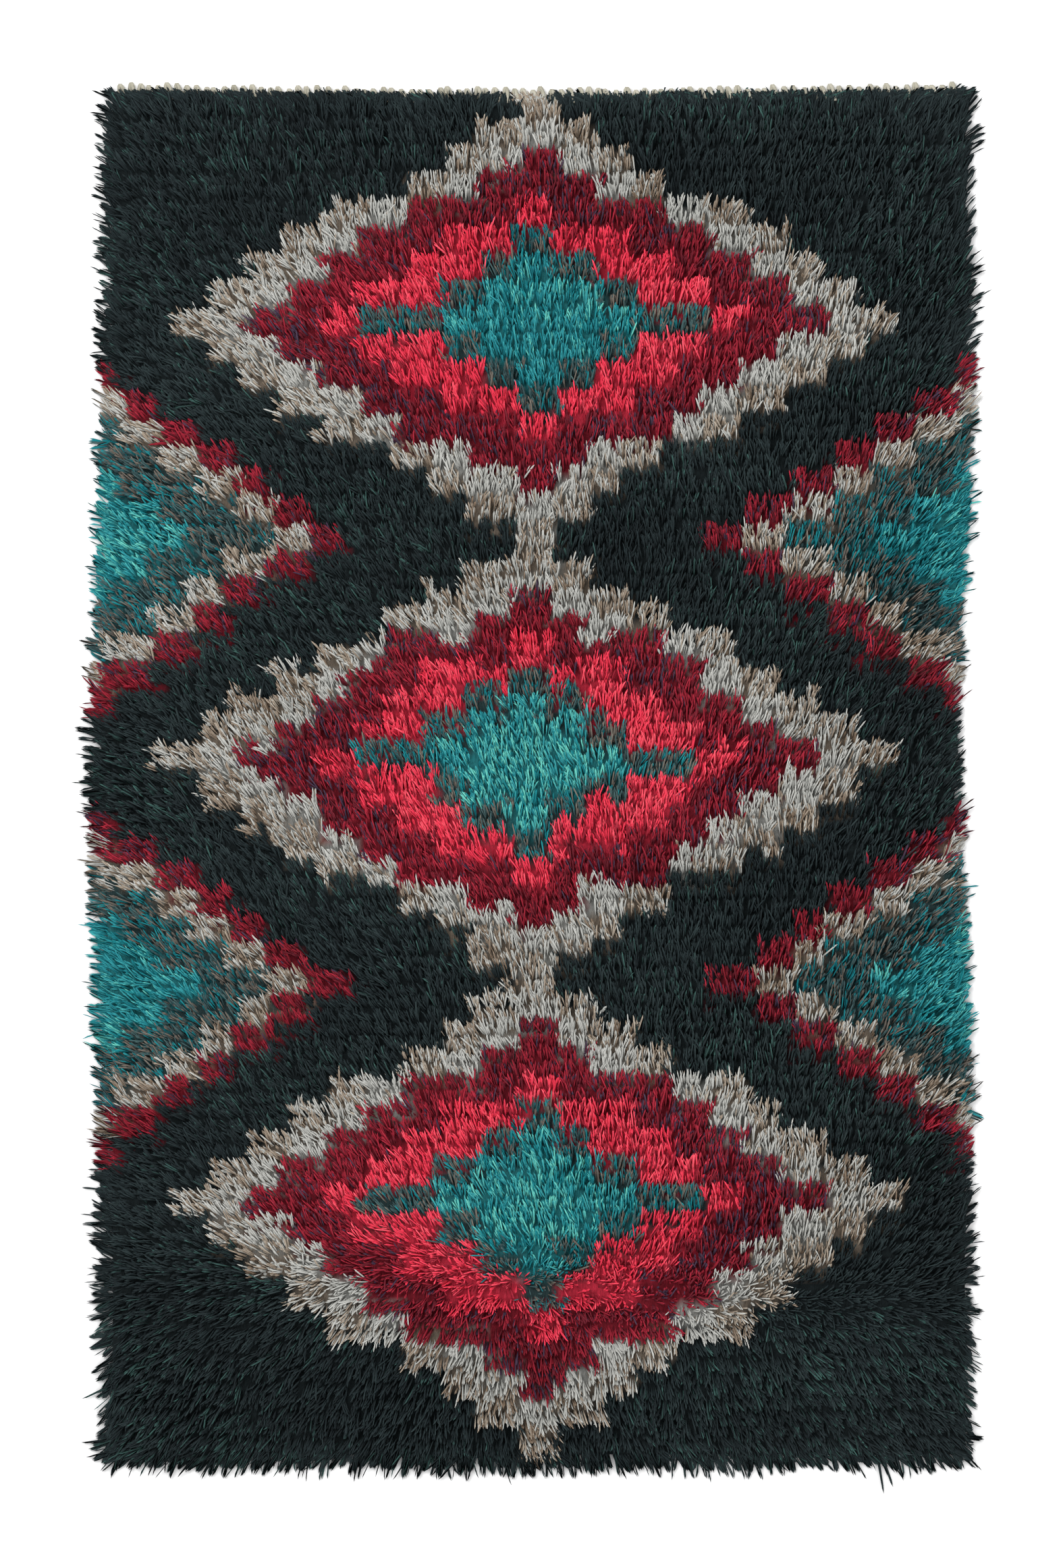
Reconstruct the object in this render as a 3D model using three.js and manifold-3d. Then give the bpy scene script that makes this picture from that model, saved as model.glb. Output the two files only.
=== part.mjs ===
// A hand-knotted rya rug lying flat on the floor, in millimetres, +Z up.
// +Y runs up the rug towards its cream woven heading, and +X to the right.
// The origin is at floor level, in the middle of the rug with its overhanging pile.
//
// The rug is a woven cloth whose upper end is finished with a row of small warp loops,
// a slab of long shag knotted into it, and loose locks that splay out past its four edges.
import * as THREE from "three";
import { mergeVertices } from "three/addons/utils/BufferGeometryUtils.js";
import Module from "manifold-3d";

const CLOTH = { width: 862, length: 1390, thick: 2.6 };
const GAP = 0.3; // between neighbouring pieces
const BOW = { depth: 12, at: 42, reach: 230 }; // the rug lies bowed to the left
const TOP_DIP = 4.5; // how far the middle of the upper edge lies below its corners

// The loops of the warp along the upper edge lean to the left.
const LOOPS = { pitch: 9.54, reach: 5.5, uneven: 0.2, lean: -2.2, margin: 0.5 };
// One loop's outline from right to left: across in pitches, lean and out in shares.
const LOOP_OUTLINE = [
  { across: 0.06, lean: 0, out: 0 },
  { across: 0.28, lean: 1, out: 0.85 },
  { across: 0.55, lean: 1, out: 1 },
  { across: 0.88, lean: 0, out: 0.3 },
];

// The strips that hold the locks: the side ones stop short of the two lower corners.
const STRIP = { wide: 8.7, high: 9.5, uneven: 0.8, fromCorner: 4 };
const TOP_MARGIN = 15; // bare cloth, under the lying locks, above the top strip
const SHAG = { high: 17.5, cells: [34, 54], lump: 6.5, clump: 70, tuft: 30, shift: 5 };
const RIM = { reach: 34, drop: 7.5 }; // the shag gets lower towards its edges
const PARTING = { at: -560, reach: 40, depth: 3 }; // the pile lies upwards above it, downwards below

// Locks round the rim: their number on each edge, the way they lie at its two ends in degrees
// anticlockwise from +X, how far they reach, and how far their tips are above the floor.
const LOCKS = {
  left: { count: 86, from: 214, to: 158, reach: 26, tip: 3 },
  right: { count: 86, from: -36, to: 40, reach: 26, tip: 3 },
  bottom: { count: 60, from: 240, to: 300, reach: 26, tip: 2.5 },
  top: { count: 60, from: 124, to: 66, reach: 19, tip: 4.6 },
};
const LOCK = { wide: 4.4, high: 3.4, below: 0.6, fromEnd: 7 };
const LOCK_RINGS = [
  { along: 0, height: 8, share: 0.8 },
  { along: 0.45, height: 7, share: 0.85 },
];
// How much the locks differ: swing in degrees, tip in millimetres and the others in shares.
const UNEVEN = { swing: 6, spread: 0.2, reach: 0.25, tip: 0.5 };

// Straight stretches along the bowed edges.
const STEPS = { clothSide: 24, sideStrip: 40, endStrip: 12 };

const COLOURS = { cloth: 0xb4ad9a, shag: 0x1d2a2e, locks: 0x22302f };

const half = { u: CLOTH.width / 2, v: CLOTH.length / 2 };
const floorOfPile = CLOTH.thick + GAP;

// Where a point u across and v along the straight rug comes to lie.
function lay(u, v) {
  const bow = -BOW.depth * Math.exp(-(((v - BOW.at) / BOW.reach) ** 2));
  const rise = Math.max(0, v / half.v) ** 4;
  const dip = TOP_DIP * Math.cos((Math.PI / 2) * (u / half.u)) * rise;
  return [u + bow, v - dip];
}

// The same number from -1 to 1 each time for the same whole numbers.
function scatter(a, b = 0, c = 0) {
  const wave = Math.sin(a * 127.1 + b * 311.7 + c * 74.7) * 43758.5453;
  return 2 * (wave - Math.floor(wave)) - 1;
}

const ease = (t) => t * t * (3 - 2 * t);

// Soft lumps of a given size, from -1 to 1.
function lumps(u, v, size, kind) {
  const [i, j] = [Math.floor(u / size), Math.floor(v / size)];
  const [s, t] = [ease(u / size - i), ease(v / size - j)];
  const low = THREE.MathUtils.lerp(scatter(i, j, kind), scatter(i + 1, j, kind), s);
  const high = THREE.MathUtils.lerp(scatter(i, j + 1, kind), scatter(i + 1, j + 1, kind), s);
  return THREE.MathUtils.lerp(low, high, t);
}

function geometryOf(points, faces) {
  const geometry = new THREE.BufferGeometry();
  geometry.setAttribute("position", new THREE.Float32BufferAttribute(points.flat(), 3));
  geometry.setIndex(faces);
  geometry.computeVertexNormals();
  return geometry;
}

// A closed skin over rings of equal size, each anticlockwise as seen from the ring after it.
// The last ring is closed flat, or in one point if a tip is given.
function skin(rings, tip) {
  const n = rings[0].length;
  const points = rings.flat();
  const last = points.length - n;
  const faces = [];
  for (let k = 0; k < last; k += n) {
    for (let i = 0; i < n; i++) {
      const next = (i + 1) % n;
      faces.push(k + i, k + next, k + i + n, k + next, k + next + n, k + i + n);
    }
  }
  for (let i = 1; i < n - 1; i++) {
    faces.push(0, i + 1, i);
    if (!tip) faces.push(last, last + i, last + i + 1);
  }
  if (tip) {
    points.push(tip);
    for (let i = 0; i < n; i++) faces.push(last + i, last + ((i + 1) % n), last + n);
  }
  return geometryOf(points, faces);
}

// The woven cloth, flat on the floor, with its warp loops along the upper edge.
function clothGeometry() {
  const outline = [];
  const put = (u, v) => outline.push(new THREE.Vector2(...lay(u, v)));
  const alongSide = (k) => THREE.MathUtils.lerp(-half.v, half.v, k / STEPS.clothSide);
  for (let k = 0; k < STEPS.clothSide; k++) put(half.u, alongSide(k));
  const count = Math.floor((CLOTH.width - 2 * LOOPS.margin) / LOOPS.pitch);
  const first = (count * LOOPS.pitch) / 2;
  put(half.u, half.v);
  for (let k = 0; k < count; k++) {
    const right = first - k * LOOPS.pitch;
    const reach = LOOPS.reach * (1 + LOOPS.uneven * scatter(k, 3));
    for (const { across, lean, out } of LOOP_OUTLINE) {
      put(right - across * LOOPS.pitch + lean * LOOPS.lean, half.v + out * reach);
    }
  }
  for (let k = STEPS.clothSide; k >= 0; k--) put(-half.u, alongSide(k));
  return new THREE.ExtrudeGeometry(new THREE.Shape(outline), {
    depth: CLOTH.thick,
    bevelEnabled: false,
  });
}

// The inside of the four strips, where the slab of shag stands.
const shagArea = {
  right: half.u - STRIP.wide - GAP,
  low: -half.v + STRIP.wide + GAP,
  high: half.v - TOP_MARGIN - STRIP.wide - GAP,
};

function shagHeight(u, v) {
  const toEdge = Math.min(shagArea.right - Math.abs(u), v - shagArea.low, shagArea.high - v);
  const rim = RIM.drop * (1 - ease(Math.min(1, toEdge / RIM.reach)));
  const clumps = 0.6 * lumps(u, v, SHAG.clump, 1) + 0.4 * lumps(u, v, SHAG.tuft, 2);
  const parting = PARTING.depth * Math.exp(-(((v - PARTING.at) / PARTING.reach) ** 2));
  return SHAG.high - rim - parting + SHAG.lump * clumps;
}

// The knotted shag as one lumpy slab: a grid on top, a wall round it and a flat underside.
function shagGeometry() {
  const [across, along] = SHAG.cells;
  const points = [];
  const faces = [];
  for (let j = 0; j <= along; j++) {
    const v = THREE.MathUtils.lerp(shagArea.low, shagArea.high, j / along);
    for (let i = 0; i <= across; i++) {
      const u = THREE.MathUtils.lerp(-shagArea.right, shagArea.right, i / across);
      const inside = i > 0 && i < across && j > 0 && j < along;
      const shift = inside ? SHAG.shift : 0;
      const [x, y] = lay(u + shift * scatter(i, j, 3), v + shift * scatter(i, j, 4));
      points.push([x, y, floorOfPile + shagHeight(u, v)]);
    }
  }
  const at = (i, j) => j * (across + 1) + i;
  for (let j = 0; j < along; j++) {
    for (let i = 0; i < across; i++) {
      faces.push(at(i, j), at(i + 1, j), at(i + 1, j + 1));
      faces.push(at(i, j), at(i + 1, j + 1), at(i, j + 1));
    }
  }
  const rim = [];
  for (let i = 0; i < across; i++) rim.push(at(i, 0));
  for (let j = 0; j < along; j++) rim.push(at(across, j));
  for (let i = across; i > 0; i--) rim.push(at(i, along));
  for (let j = along; j > 0; j--) rim.push(at(0, j));
  const under = points.length;
  rim.forEach((k) => points.push([points[k][0], points[k][1], floorOfPile]));
  const middle = points.push([...lay(0, 0), floorOfPile]) - 1;
  rim.forEach((top, k) => {
    const next = (k + 1) % rim.length;
    faces.push(under + k, under + next, top, under + next, rim[next], top);
    faces.push(under + next, under + k, middle);
  });
  return geometryOf(points, faces);
}

const wasm = await Module();
wasm.setup();

function solidOf(geometry) {
  const bare = geometry.clone();
  bare.deleteAttribute("normal");
  bare.deleteAttribute("uv");
  const merged = mergeVertices(bare, 1e-4);
  const vertProperties = merged.attributes.position.array;
  const triVerts = new Uint32Array(merged.index.array);
  return new wasm.Manifold(new wasm.Mesh({ numProp: 3, vertProperties, triVerts }));
}

function geometryOfSolid(solid) {
  const made = solid.getMesh();
  const geometry = new THREE.BufferGeometry();
  geometry.setAttribute("position", new THREE.BufferAttribute(made.vertProperties, 3));
  geometry.setIndex(new THREE.BufferAttribute(made.triVerts, 1));
  geometry.computeVertexNormals();
  return geometry;
}

// A lock: three sides, flat below, from its root in the strip over a bend down to its tip.
function lockGeometry([x, y], angle, reach, tipHeight) {
  const [cos, sin] = [Math.cos(angle), Math.sin(angle)];
  const rings = LOCK_RINGS.map(({ along, height, share }) => {
    const [wide, high] = [LOCK.wide * share, LOCK.high * share];
    const corners = [
      { aside: wide, up: -high * LOCK.below },
      { aside: 0, up: high },
      { aside: -wide, up: -high * LOCK.below },
    ];
    const out = along * reach;
    return corners.map(({ aside, up }) => [
      x + cos * out - sin * aside,
      y + sin * out + cos * aside,
      height + up,
    ]);
  });
  return skin(rings, [x + cos * reach, y + sin * reach, tipHeight]);
}

// A narrow strip of the shag's rim, between two points of the straight rug, with its locks.
function stripGeometry(name, from, to) {
  const lockPlan = LOCKS[name];
  const vertical = from[0] === to[0];
  const at = (t) => [
    THREE.MathUtils.lerp(from[0], to[0], t),
    THREE.MathUtils.lerp(from[1], to[1], t),
  ];
  const steps = vertical ? STEPS.sideStrip : STEPS.endStrip;
  const rings = [];
  for (let k = 0; k <= steps; k++) {
    const [u, v] = at(k / steps);
    const side = STRIP.wide / 2;
    const [a, b] = vertical
      ? [lay(u + side, v), lay(u - side, v)]
      : [lay(u, v - side), lay(u, v + side)];
    const high = floorOfPile + STRIP.high + STRIP.uneven * scatter(k, name.length);
    rings.push([[...a, floorOfPile], [...b, floorOfPile], [...b, high], [...a, high]]);
  }
  let solid = solidOf(skin(rings));
  const free = LOCK.fromEnd / Math.hypot(to[0] - from[0], to[1] - from[1]);
  for (let k = 0; k < lockPlan.count; k++) {
    const differ = (kind) => scatter(k, kind, name.length);
    const share = (k + 0.5 + UNEVEN.spread * differ(5)) / lockPlan.count;
    const t = THREE.MathUtils.lerp(free, 1 - free, share);
    const angle = THREE.MathUtils.lerp(lockPlan.from, lockPlan.to, t) + UNEVEN.swing * differ(7);
    const reach = lockPlan.reach * (1 + UNEVEN.reach * differ(11));
    const tip = lockPlan.tip + UNEVEN.tip * differ(13);
    const lock = lockGeometry(lay(...at(t)), THREE.MathUtils.degToRad(angle), reach, tip);
    solid = solid.add(solidOf(lock));
  }
  return geometryOfSolid(solid);
}

function meshOf(name, geometry, color, roughness) {
  const material = new THREE.MeshStandardMaterial({ color, roughness, metalness: 0 });
  const mesh = new THREE.Mesh(geometry, material);
  mesh.name = name;
  return mesh;
}

const sideLine = half.u - STRIP.wide / 2;
const endLine = sideLine - STRIP.wide / 2 - GAP;
const topLine = half.v - TOP_MARGIN - STRIP.wide / 2;
const bottomLine = -half.v + STRIP.wide / 2;
const sideFoot = -half.v + STRIP.fromCorner;
const strips = {
  left: [[-sideLine, sideFoot], [-sideLine, half.v - TOP_MARGIN]],
  right: [[sideLine, sideFoot], [sideLine, half.v - TOP_MARGIN]],
  bottom: [[-endLine, bottomLine], [endLine, bottomLine]],
  top: [[-endLine, topLine], [endLine, topLine]],
};

const rug = new THREE.Group();
rug.add(meshOf("woven_cloth", clothGeometry(), COLOURS.cloth, 0.95));
rug.add(meshOf("shag_pile", shagGeometry(), COLOURS.shag, 0.9));
for (const [name, [from, to]] of Object.entries(strips)) {
  rug.add(meshOf(`rim_locks_${name}`, stripGeometry(name, from, to), COLOURS.locks, 0.9));
}

// The origin is under the middle of the whole rug.
const middle = new THREE.Box3().setFromObject(rug, true).getCenter(new THREE.Vector3());
rug.position.set(-middle.x, -middle.y, 0);

export default rug;
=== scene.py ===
# %% [markdown]
# # A rya rug
# A rya is a floor rug of long wool locks, knotted by hand into a woven cloth. Seen from above
# it is nothing but the tips of its pile, lying over each other like fur. This lesson dresses a
# plain solid model of such a rug: the cloth, its looped warp end, and about two hundred
# thousand separate strands in twelve lots of dyed yarn.
#
# The solid model comes first, because it fixes where everything is.

import math

import bpy
import numpy as np
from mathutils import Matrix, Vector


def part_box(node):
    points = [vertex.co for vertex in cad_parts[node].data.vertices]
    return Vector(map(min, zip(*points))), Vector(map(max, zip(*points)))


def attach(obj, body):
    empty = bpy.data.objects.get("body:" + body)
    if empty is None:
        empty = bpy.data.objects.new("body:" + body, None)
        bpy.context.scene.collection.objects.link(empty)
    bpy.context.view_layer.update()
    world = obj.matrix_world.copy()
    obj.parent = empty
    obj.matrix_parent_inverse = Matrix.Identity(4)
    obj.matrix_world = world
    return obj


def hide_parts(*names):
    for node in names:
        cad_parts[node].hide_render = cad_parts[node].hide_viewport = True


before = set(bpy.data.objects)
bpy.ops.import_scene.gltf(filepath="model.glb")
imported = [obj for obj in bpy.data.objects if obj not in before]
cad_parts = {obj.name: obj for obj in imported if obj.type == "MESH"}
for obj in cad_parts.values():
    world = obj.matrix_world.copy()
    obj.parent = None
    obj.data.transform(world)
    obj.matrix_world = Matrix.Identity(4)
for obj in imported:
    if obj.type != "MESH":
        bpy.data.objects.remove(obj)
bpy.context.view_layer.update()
print("solids:", sorted(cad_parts))

# %% [markdown]
# ## The rug's own sizes
# Everything below is worked out in millimetres on a straight rug, u across and v along, and is
# then laid down: the real one lies slightly bowed to the left, and its upper edge dips a little
# in the middle. The solid model uses the same two bends, so the pieces fit it. HALF_U and
# HALF_V are half the width and half the length of the cloth. The shift between the straight
# rug and the frame is read off the cloth's own box.

# %% Sizes in millimetres
MM = 0.001
HALF_U = 431.0
HALF_V = 695.0
CLOTH_THICK = 2.6
BOW = {"depth": 12.0, "at": 42.0, "reach": 230.0}
TOP_DIP = {"depth": 4.5, "power": 4}

cloth_low, cloth_high = (np.array(corner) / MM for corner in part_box("woven_cloth"))
SHIFT_X = cloth_high[0] - HALF_U
SHIFT_Y = cloth_low[1] + HALF_V
print(f"the straight rug is shifted by {SHIFT_X:.2f} and {SHIFT_Y:.2f} mm")


def lay(u, v):
    """Where points u across and v along the straight rug lie in the frame, in millimetres."""
    bow = -BOW["depth"] * np.exp(-(((v - BOW["at"]) / BOW["reach"]) ** 2))
    rise = np.maximum(0.0, v / HALF_V) ** TOP_DIP["power"]
    dip = TOP_DIP["depth"] * np.cos(np.clip(u / HALF_U, -1, 1) * math.pi / 2) * rise
    return u + bow + SHIFT_X, v - dip + SHIFT_Y


# %% [markdown]
# ## Unevenness that is the same each time
# Handwork is uneven at every size: single strands, tufts, and whole hand-wide areas. Random
# numbers with a fixed seed serve for the first. For the larger ones, a number is looked up for
# each corner of a coarse grid, from a sine that scrambles well, and blended in between. One
# table gives each use of these soft lumps its size, and a number of its own, so that no two
# of them fall together.

# %% Scatter and soft lumps
SEED = 1962
SCRAMBLE = (127.1, 311.7, 74.7)
SCRAMBLE_SIZE = 43758.5453
LUMPS = {
    # size of a lump in millimetres, number of its own
    "clump": (70.0, 1),
    "tuft": (30.0, 2),
    "crown": (130.0, 21),
    "wide swirl": (150.0, 22),
    "middle swirl": (55.0, 23),
    "small swirl": (24.0, 25),
    "ragged crown": (60.0, 24),
    "colour across": (60.0, 31),
    "colour along": (60.0, 32),
    "pairing": (90.0, 41),
    "row": (75.0, 42),
    "hank": (44.0, 51),
    "shade": (60.0, 52),
    "upper edge": (30.0, 64),
    "overhang": (17.0, 65),
    "cloth": (26.0, 71),
    "depth": (8.0, 81),
}
TUFT_ACROSS, TUFT_ALONG, TUFT_PULL = 61, 62, 63

rng = np.random.default_rng(SEED)


def scatter(a, b, c):
    """A number from -1 to 1, always the same for the same whole numbers."""
    wave = np.sin(a * SCRAMBLE[0] + b * SCRAMBLE[1] + c * SCRAMBLE[2]) * SCRAMBLE_SIZE
    return 2 * (wave - np.floor(wave)) - 1


def ease(t):
    """A soft climb from 0 to 1 while t goes from 0 to 1, and level before and after."""
    t = np.clip(t, 0, 1)
    return t * t * (3 - 2 * t)


def lumps(u, v, what):
    """Soft lumps from -1 to 1, of the size that their use has in the table."""
    size, kind = LUMPS[what]
    i, j = np.floor(u / size), np.floor(v / size)
    s, t = ease(u / size - i), ease(v / size - j)
    low = scatter(i, j, kind) * (1 - s) + scatter(i + 1, j, kind) * s
    high = scatter(i, j + 1, kind) * (1 - s) + scatter(i + 1, j + 1, kind) * s
    return low * (1 - t) + high * t


# %% [markdown]
# ## Height of the pile
# The slab in the solid model has lumps and gets lower towards its edges. The strands follow
# the same heights, so that the dressed rug fills the space that its solid holds. The slab ends
# where the narrow strips of its rims begin, and at the upper end a margin for the loops comes
# off too. Along a parting near the lower end the pile is a little lower.

# %% Height of the pile over the rug
SHAG = {"high": 17.5, "lump": 6.5, "clump_share": 0.6, "tuft_share": 0.4}
RIM = {
    "strip": 9.0,
    "top_margin": 15.0,
    "reach": 34.0,
    "drop": 7.5,
    # how far in the rim's own knots reach, and over what length they blend with the others
    "knots": 22.0,
    "blend": 14.0,
    # how many more strands they have and how much longer these are, as shares
    "more": 1.12,
    "longer": 0.32,
}
PARTING = {"at": -560.0, "reach": 40.0, "depth": 3.0}


def pile_height(u, v):
    """How high the pile stands above the floor, in millimetres."""
    inner = HALF_U - RIM["strip"]
    above = HALF_V - RIM["top_margin"] - RIM["strip"]
    to_edge = np.minimum(np.minimum(inner - np.abs(u), v + HALF_V - RIM["strip"]), above - v)
    rim = RIM["drop"] * (1 - ease(to_edge / RIM["reach"]))
    clumps = SHAG["clump_share"] * lumps(u, v, "clump") + SHAG["tuft_share"] * lumps(u, v, "tuft")
    parting = PARTING["depth"] * np.exp(-(((v - PARTING["at"]) / PARTING["reach"]) ** 2))
    return CLOTH_THICK + SHAG["high"] - rim - parting + SHAG["lump"] * clumps


# %% [markdown]
# ## The lie of the pile
# Long pile never stands straight up. On this rug it has been combed by use: up the rug over
# most of its length, turning outwards at both sides, and downwards below a ragged crown near
# the lower end. A small table gives the sideways lean at places across the rug, in one column
# for the upper part and in another for the lower, and the direction is blended between them.
# The lean gets less towards the upper end, and soft swirls of three sizes make it uneven.

# %% Direction of the pile
LEAN = [
    # u, sideways per unit upwards, sideways per unit downwards
    (-431, -2.60, -1.05),
    (-400, -1.55, -0.88),
    (-330, -0.95, -0.66),
    (-200, -0.62, -0.50),
    (-90, -0.34, -0.20),
    (0, -0.14, 0.06),
    (120, 0.00, 0.28),
    (250, 0.12, 0.58),
    (340, 0.36, 0.72),
    (400, 0.85, 0.86),
    (431, 1.30, 1.00),
]
CROWN = {"low": -628.0, "high": -450.0, "wander": 30.0, "ragged": 0.30}
UPPER_LIE = {"from": 330.0, "over": 320.0, "less": 0.50}
SWIRLS = {"wide swirl": 0.15, "middle swirl": 0.13, "small swirl": 0.10}
FLAT_LEAN = 0.8


def lie_of_pile(u, v):
    """The way the pile lies, in radians anticlockwise from +X, and how flat, from 0 to 1."""
    at, up_lean, down_lean = zip(*LEAN)
    line = CROWN["wander"] * lumps(u, v, "crown")
    up = ease((v + line - CROWN["low"]) / (CROWN["high"] - CROWN["low"]))
    upper_end = 1 - UPPER_LIE["less"] * ease((v - UPPER_LIE["from"]) / UPPER_LIE["over"])
    across = np.interp(u, at, up_lean) * up * upper_end + np.interp(u, at, down_lean) * (1 - up)
    across += CROWN["ragged"] * lumps(u, v, "ragged crown") * 4 * up * (1 - up)
    along = 2 * up - 1
    swirl = sum(size * lumps(u, v, what) for what, size in SWIRLS.items())
    flatness = np.clip(np.hypot(across, along) / FLAT_LEAN, 0, 1)
    return np.arctan2(along, across) + swirl, flatness


for u, v in [(-420, 100), (-250, 100), (0, 100), (420, 100), (-300, -660), (0, -660), (400, -660)]:
    angle, flatness = lie_of_pile(np.array(float(u)), np.array(float(v)))
    print(f"at {u}, {v} the pile lies at {math.degrees(angle):.0f} degrees, flatness {flatness:.2f}")

# %% [markdown]
# ## The design
# Each knot is one small block of colour, so a rya's design is drawn on squared paper. This one
# is a traditional arrangement: three large stepped lozenges stacked up the rug, each in bands,
# and half lozenges let in at the sides. A lozenge is where the distances across and along add
# up to less than one, which gives every band from a single number. Rounding both distances to
# whole steps, a few knots wide and two rows high, turns its slopes into stairs.

# %% Colour areas by knot
LOZENGES = [
    # across, along, half width, half length, bands from the heart outwards
    (0, -450, 386, 236, "large"),
    (0, 0, 386, 236, "large"),
    (0, 450, 386, 236, "large"),
    (-436, -225, 270, 190, "side"),
    (436, -225, 270, 190, "side"),
    (-436, 225, 270, 190, "side"),
    (436, 225, 270, 190, "side"),
]
BANDS = {
    "large": [
        # outer limit of the band, its area of colour
        (0.24, "teal"),
        (0.41, "slate"),
        (0.56, "scarlet"),
        (0.77, "crimson"),
        (0.88, "grey"),
        (0.98, "fawn"),
    ],
    "side": [
        (0.36, "teal"),
        (0.64, "slate"),
        (0.78, "fawn"),
        (1.00, "crimson"),
    ],
}
AREAS = ["dark", "scarlet", "crimson", "grey", "fawn", "slate", "teal"]
STEP = {"across": 38.6, "along": 27.6, "wander_across": 7.0, "wander_along": 3.0}


def area_of(u, v):
    """The area of colour of each knot, as its place in AREAS. Past all the bands it is dark."""
    wander_u = u + STEP["wander_across"] * lumps(u, v, "colour across")
    wander_v = v + STEP["wander_along"] * lumps(u, v, "colour along")
    area = np.zeros(u.shape, int)
    for across, along, wide, long, kind in LOZENGES:
        steps_u = np.round(np.abs(wander_u - across) / STEP["across"]) * STEP["across"]
        steps_v = np.round(np.abs(wander_v - along) / STEP["along"]) * STEP["along"]
        reach = steps_u / wide + steps_v / long
        inner = 0.0
        for outer, colour in BANDS[kind]:
            area[(reach >= inner) & (reach < outer)] = AREAS.index(colour)
            inner = outer
    return area


# %% [markdown]
# ## Lots of yarn
# A knot is tied from several yarns at once, often of different dye lots, which is what gives a
# rya its depth of colour. Each area of colour is therefore a mixture of lots. A lot has one
# material, whose own shades run from the first to the last colour of its list, and it becomes
# one piece of the model or a few.

# %% Mixtures of yarn
MIXTURES = {
    # the bottle lot in the dark ground is partly a second green yarn and partly a painted sheen
    "dark": {"ink": 0.91, "bottle": 0.09},
    "scarlet": {"scarlet": 0.78, "crimson": 0.22},
    "crimson": {"crimson": 0.52, "wine": 0.36, "plum": 0.12},
    "grey": {"grey": 0.90, "fawn": 0.10},
    "fawn": {"fawn": 0.54, "grey": 0.46},
    "slate": {"slate": 0.46, "taupe": 0.28, "petrol": 0.26},
    "teal": {"teal": 0.70, "petrol": 0.30},
}
DYES = {
    # shades from one end of the lot to the other, red, green and blue from 0 to 255
    "ink": [(28, 34, 36), (36, 45, 47), (47, 58, 59)],
    # the bottle lot is a green yarn and also a painted sheen: its pale grey-green strands stand for
    # glints on the dark ground
    "bottle": [(40, 56, 55), (49, 72, 69), (61, 92, 87)],
    "crimson": [(122, 31, 42), (144, 35, 50), (168, 44, 61)],
    "wine": [(88, 27, 36), (102, 31, 42), (116, 38, 49)],
    "plum": [(56, 42, 58), (68, 52, 70), (78, 62, 80)],
    "scarlet": [(214, 50, 70), (230, 58, 82), (244, 90, 106)],
    "grey": [(168, 169, 164), (180, 180, 175), (192, 192, 187)],
    "fawn": [(114, 97, 81), (148, 134, 119), (174, 163, 148)],
    "slate": [(48, 65, 67), (60, 83, 85), (72, 97, 97)],
    "taupe": [(86, 82, 76), (103, 97, 90), (118, 111, 102)],
    "petrol": [(19, 90, 98), (24, 113, 121), (34, 137, 143)],
    "teal": [(34, 122, 132), (54, 150, 156), (106, 198, 183)],
}
LOTS = list(DYES)

# %% [markdown]
# ## Where the knots are
# Rows of knots run across the rug with a few picks of plain weave between them. The rows lie
# in loose pairs, which leaves the slightly darker partings that cross the real rug every other
# row.

# %% Knots
KNOT = {
    "across": 9.65,
    "along": 13.8,
    "inset": 5.0,
    "upper_inset": 18.0,
    "pairing": 0.8,
    "uneven_pairing": 0.8,
    "drift": 1.7,
    "scatter": 0.9,
}
columns = np.arange(-HALF_U + KNOT["inset"], HALF_U - KNOT["inset"], KNOT["across"])
rows = np.arange(-HALF_V + KNOT["inset"], HALF_V - KNOT["upper_inset"], KNOT["along"])
knot_u, knot_v = (grid.ravel() for grid in np.meshgrid(columns, rows))
knot_row = np.repeat(np.arange(len(rows)), len(columns))
knot_area = area_of(knot_u, knot_v)
pairing = KNOT["pairing"] * (1 + KNOT["uneven_pairing"] * lumps(knot_u, knot_v, "pairing"))
knot_v = knot_v + np.where(knot_row % 2 == 0, pairing, -pairing)
drift = KNOT["drift"] * lumps(knot_u, knot_v, "row")
knot_v += drift + rng.normal(0, KNOT["scatter"], knot_v.shape)
knot_u += rng.normal(0, KNOT["scatter"], knot_u.shape)
print(f"{len(columns)} columns by {len(rows)} rows make {len(knot_u)} knots")
for index, area in enumerate(AREAS):
    print(f"  {area}: {np.mean(knot_area == index):.1%}")


# %% [markdown]
# ## Knots, yarns and strands
# A knot is tied from a few yarns, and each yarn opens towards its cut end into strands that
# cling together. So the pile is drawn at three levels. What the strands of a yarn share is
# drawn once for the yarn: its place in the knot, the way it leans and bends, its lot and its
# shade. What is left to each strand is small.

# %% Yarns
YARNS = {
    "to_a_knot": 4,
    "across": 4.8,
    "along": 3.4,
    "knot_swing": math.radians(5),
    "swing": math.radians(6),
    "bend": 0.14,
    "reach": (0.90, 1.07),
}
knot_shade = rng.random(len(knot_u))
knot_swing = rng.normal(0, YARNS["knot_swing"], len(knot_u))
yarn_knot = np.repeat(np.arange(len(knot_u)), YARNS["to_a_knot"])
yarn_number = len(yarn_knot)
yarn_u = knot_u[yarn_knot] + rng.uniform(-YARNS["across"], YARNS["across"], yarn_number)
yarn_v = knot_v[yarn_knot] + rng.uniform(-YARNS["along"], YARNS["along"], yarn_number)
yarn_swing = knot_swing[yarn_knot] + rng.normal(0, YARNS["swing"], yarn_number)
yarn_bend = rng.normal(0, YARNS["bend"], yarn_number)
yarn_reach = rng.uniform(*YARNS["reach"], yarn_number)
print(f"{yarn_number} yarns")

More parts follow.
